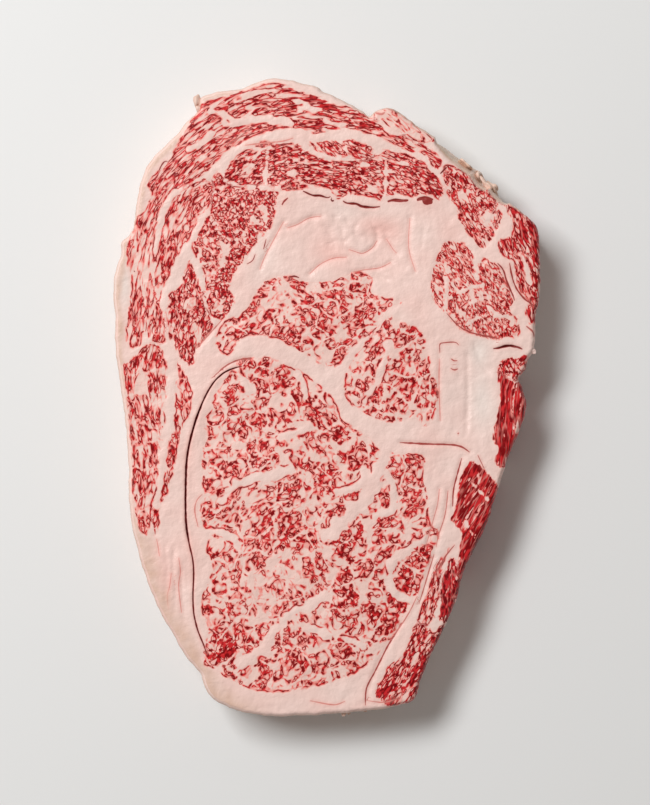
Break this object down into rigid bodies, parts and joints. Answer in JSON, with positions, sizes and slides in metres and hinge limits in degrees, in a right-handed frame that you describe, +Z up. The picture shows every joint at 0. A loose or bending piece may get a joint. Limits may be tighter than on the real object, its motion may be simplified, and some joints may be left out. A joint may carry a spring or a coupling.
{
  "type": "raw beef steak",
  "caption": "Thick raw rib steak with fine dense marbling, broad fat seams round the eye and an open seam beside it, lying flat on its cut face.",
  "frame": {"origin": "middle of the bounding box, on the surface that the steak lies on", "axes": "+Z up out of the upper cut face, +Y along the length towards the cap end, +X across the width towards the side away from the open seam"},
  "size_m": [0.1434, 0.2136, 0.0229],
  "materials": {
    "marbled_beef": "moist, softly glossy"
  },
  "bodies": {
    "root": {"steak": "marbled_beef"}
  },
  "joints": []
}
